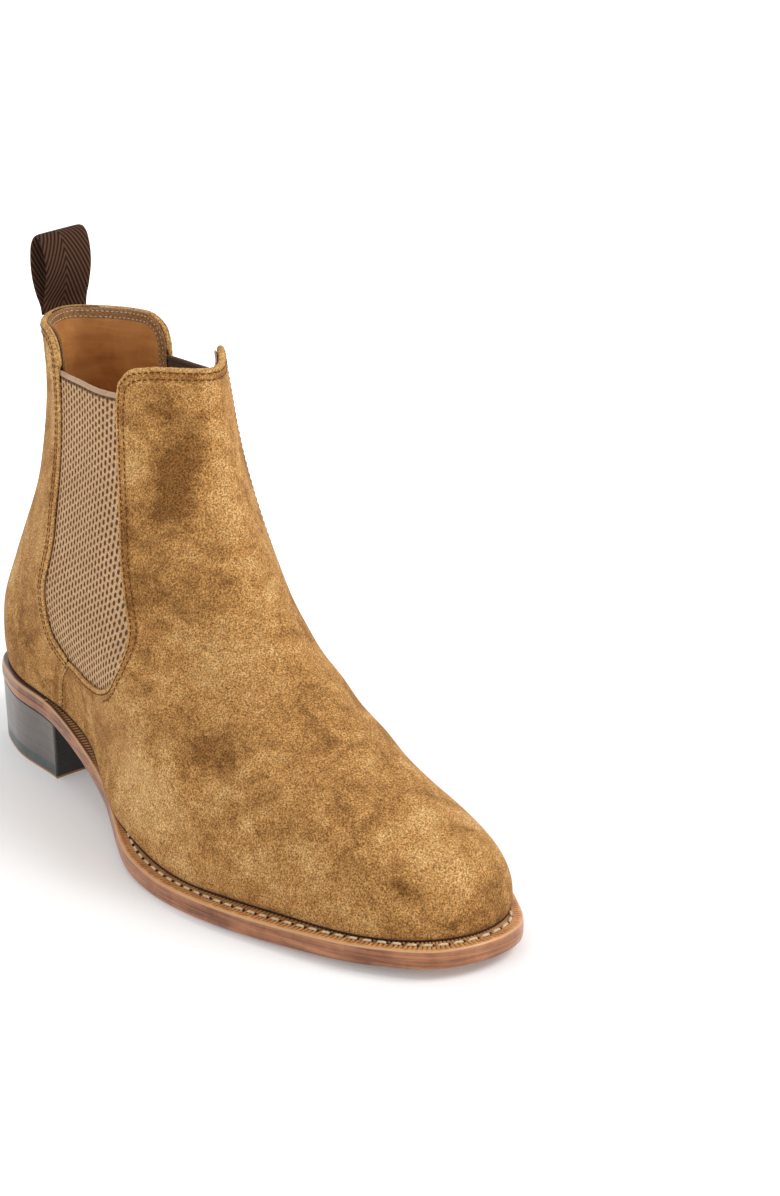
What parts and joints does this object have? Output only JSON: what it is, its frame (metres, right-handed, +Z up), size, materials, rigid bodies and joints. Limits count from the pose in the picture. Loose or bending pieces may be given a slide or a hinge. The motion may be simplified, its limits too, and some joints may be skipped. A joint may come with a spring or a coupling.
{
  "type": "chelsea boot",
  "caption": "Ankle-high suede chelsea boot with elastic side gores, a webbing pull loop, a welted leather sole and a stacked heel.",
  "frame": {"origin": "on the ground under the middle of the sole's bounding box", "axes": "+X to the toe, +Y to the inner (medial) side of this right boot, +Z up"},
  "size_m": [0.3001, 0.1039, 0.2026],
  "materials": {
    "suede": "brushed tan suede",
    "lining": "smooth calf lining",
    "elastic": "ribbed elastic webbing",
    "webbing": "herringbone webbing",
    "sole_leather": "burnished sole leather",
    "welt_leather": "waxed welting leather",
    "heel_leather": "stacked leather, waxed and polished",
    "heel_rubber": "moulded rubber",
    "insole_leather": "plain vegetable-tanned leather",
    "stiffener": "stiff leather board",
    "cork": "pressed cork",
    "steel": "plain"
  },
  "bodies": {
    "root": {"back_lining": "lining", "back_panel": "suede", "back_stay": "stiffener", "cork_filler": "cork", "gore_hem_lateral": "elastic", "gore_hem_medial": "elastic", "gore_lateral": "elastic", "gore_medial": "elastic", "heel_counter": "stiffener", "heel_lift_1": "heel_leather", "heel_lift_2": "heel_leather", "heel_lift_3": "heel_leather", "heel_nails": "steel", "heel_rand": "welt_leather", "heel_seat_filler": "insole_leather", "heel_top_piece": "heel_rubber", "heel_wedge_lift": "heel_leather", "insole": "insole_leather", "insole_rib": "insole_leather", "instep_crease": "suede", "instep_crease_lining": "lining", "outsole": "sole_leather", "pull_loop_tails": "webbing", "shank": "steel", "sock_liner": "lining", "toe_puff": "stiffener", "vamp": "suede", "vamp_lining": "lining", "welt": "welt_leather"},
    "front_shaft": {"front_shaft": "suede", "front_shaft_lining": "lining"},
    "pull_loop": {"pull_loop": "webbing"}
  },
  "joints": [
    {"name": "shaft_stretch", "type": "hinge", "parent": "root", "child": "front_shaft", "pos_m": [-0.01, 0.00305, 0.064], "axis": [0, 1, 0], "range_deg": [0, 8], "stiffness_Nm_per_rad": 8, "deforming": ["gore_lateral", "gore_medial", "gore_hem_lateral", "gore_hem_medial", "instep_crease", "instep_crease_lining"]},
    {"name": "pull_loop_flop", "type": "hinge", "parent": "root", "child": "pull_loop", "pos_m": [-0.117, 0.00305, 0.1764], "axis": [0, 1, 0], "range_deg": [-60, 60]}
  ]
}
